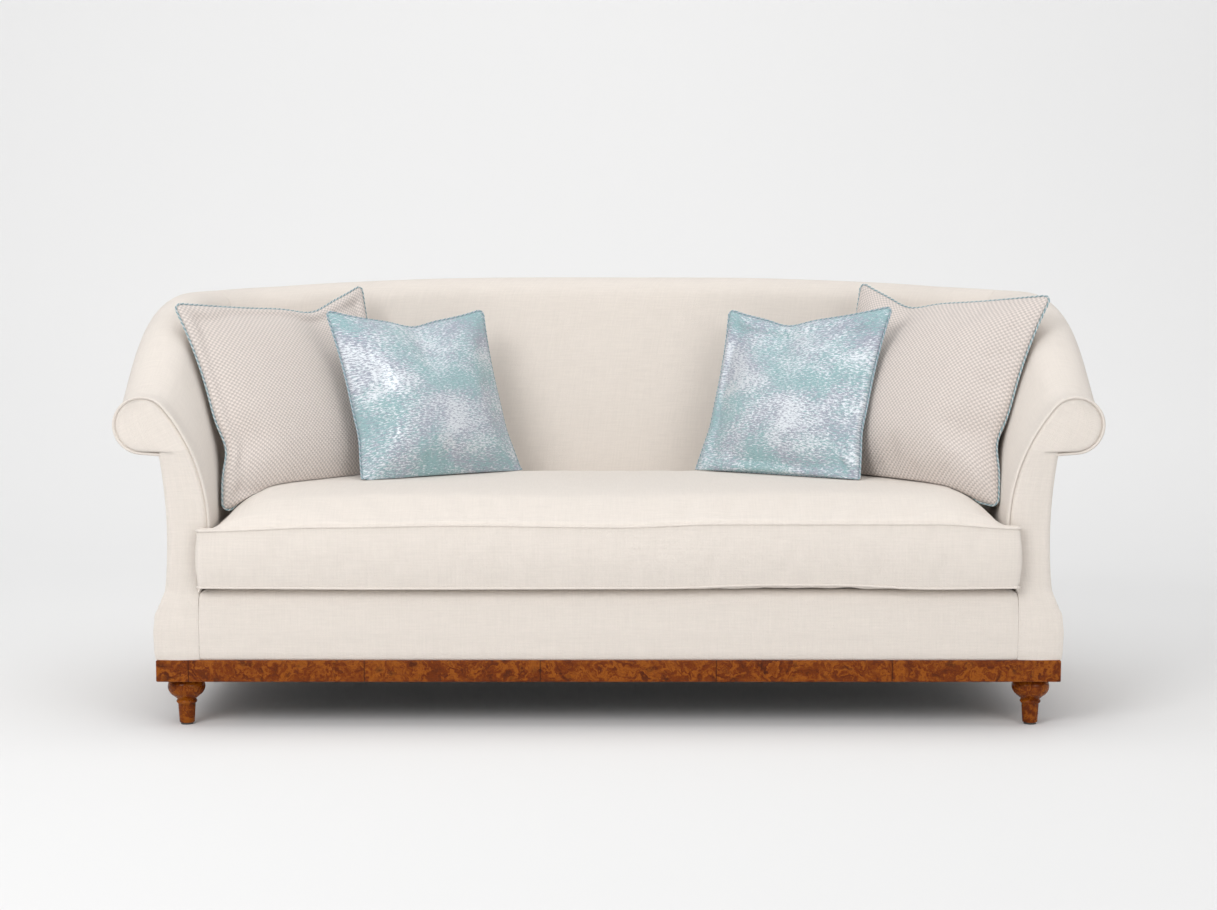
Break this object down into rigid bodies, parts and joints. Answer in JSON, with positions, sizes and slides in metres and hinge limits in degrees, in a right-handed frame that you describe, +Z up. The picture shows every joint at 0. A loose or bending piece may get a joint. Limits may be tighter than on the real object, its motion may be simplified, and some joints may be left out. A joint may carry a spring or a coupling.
{
  "type": "sofa",
  "caption": "Upholstered sofa with outscrolled arms sweeping up into a scrolled back, a loose bench seat cushion, loose scatter cushions and a burr-veneered plinth on turned feet.",
  "frame": {"origin": "centre of the footprint on the floor: midway between the arm scrolls and midway between the front of the seat cushion and the back scroll", "axes": "+X to the right as seen from the front, +Y towards the back, +Z up; the sofa faces -Y"},
  "size_m": [2.2, 0.95, 0.989],
  "materials": {
    "ivory_cloth": "ivory slubbed linen weave, matt",
    "oatmeal_weave": "coarse oatmeal basket weave",
    "two_tone_piping": "thin twisted cord in aqua, grey and white",
    "aqua_cloth": "duck-egg cloth with a rubbed silvery mottle",
    "aqua_piping": "aqua self piping",
    "burr_walnut": "high-gloss burr walnut veneer",
    "turned_walnut": "high-gloss turned walnut",
    "frame_beech": "plain planed beech, unfinished",
    "webbing": "woven elastic webbing",
    "deck_cloth": "plain deck cloth over wadding",
    "dust_cloth": "black non-woven underside cloth",
    "stuffing": "foam and feather filling in a plain case",
    "bolt_steel": "zinc-plated steel",
    "glide_nylon": "dark nylon"
  },
  "bodies": {
    "sofa_frame": {"back_border": "ivory_cloth", "back_pad": "ivory_cloth", "back_seat_rail": "frame_beech", "back_top_rail": "frame_beech", "back_uprights": "frame_beech", "back_webbing": "webbing", "corner_blocks": "frame_beech", "dust_cover": "dust_cloth", "foot_bolts": "bolt_steel", "foot_glides": "glide_nylon", "front_border": "ivory_cloth", "front_left_foot": "turned_walnut", "front_right_foot": "turned_walnut", "rear_left_foot": "turned_walnut", "rear_right_foot": "turned_walnut", "front_seat_rail": "frame_beech", "left_arm_facing": "ivory_cloth", "right_arm_facing": "ivory_cloth", "left_arm_facing_welt": "ivory_cloth", "right_arm_facing_welt": "ivory_cloth", "left_arm_front_board": "frame_beech", "right_arm_front_board": "frame_beech", "left_arm_pad": "ivory_cloth", "right_arm_pad": "ivory_cloth", "left_arm_top_rail": "frame_beech", "right_arm_top_rail": "frame_beech", "left_back_post": "frame_beech", "right_back_post": "frame_beech", "left_outside_arm_panel": "ivory_cloth", "right_outside_arm_panel": "ivory_cloth", "left_seat_rail": "frame_beech", "right_seat_rail": "frame_beech", "left_seat_stretcher": "frame_beech", "right_seat_stretcher": "frame_beech", "left_side_border": "ivory_cloth", "right_side_border": "ivory_cloth", "outside_back_panel": "ivory_cloth", "plinth_front": "burr_walnut", "plinth_back": "burr_walnut", "plinth_left": "burr_walnut", "plinth_right": "burr_walnut", "seat_deck": "deck_cloth", "seat_webbing": "webbing"},
    "seat_cushion": {"seat_cushion_cover": "ivory_cloth", "seat_cushion_core": "stuffing", "seat_cushion_top_welt": "ivory_cloth", "seat_cushion_bottom_welt": "ivory_cloth"},
    "left_large_cushion": {"left_large_cushion_cover": "oatmeal_weave", "left_large_cushion_insert": "stuffing", "left_large_cushion_piping": "two_tone_piping"},
    "right_large_cushion": {"right_large_cushion_cover": "oatmeal_weave", "right_large_cushion_insert": "stuffing", "right_large_cushion_piping": "two_tone_piping"},
    "left_small_cushion": {"left_small_cushion_cover": "aqua_cloth", "left_small_cushion_insert": "stuffing", "left_small_cushion_piping": "aqua_piping"},
    "right_small_cushion": {"right_small_cushion_cover": "aqua_cloth", "right_small_cushion_insert": "stuffing", "right_small_cushion_piping": "aqua_piping"}
  },
  "joints": [
    {"name": "seat_cushion_lift", "type": "slide", "parent": "sofa_frame", "child": "seat_cushion", "axis": [0, 0, 1], "range_m": [0, 0.2]},
    {"name": "left_large_cushion_lift", "type": "slide", "parent": "seat_cushion", "child": "left_large_cushion", "axis": [0, -0.6, 0.8], "range_m": [0, 0.25]},
    {"name": "right_large_cushion_lift", "type": "slide", "parent": "seat_cushion", "child": "right_large_cushion", "axis": [0, -0.6, 0.8], "range_m": [0, 0.25]},
    {"name": "left_small_cushion_lift", "type": "slide", "parent": "left_large_cushion", "child": "left_small_cushion", "axis": [0, -0.6, 0.8], "range_m": [0, 0.25]},
    {"name": "right_small_cushion_lift", "type": "slide", "parent": "right_large_cushion", "child": "right_small_cushion", "axis": [0, -0.6, 0.8], "range_m": [0, 0.25]}
  ]
}
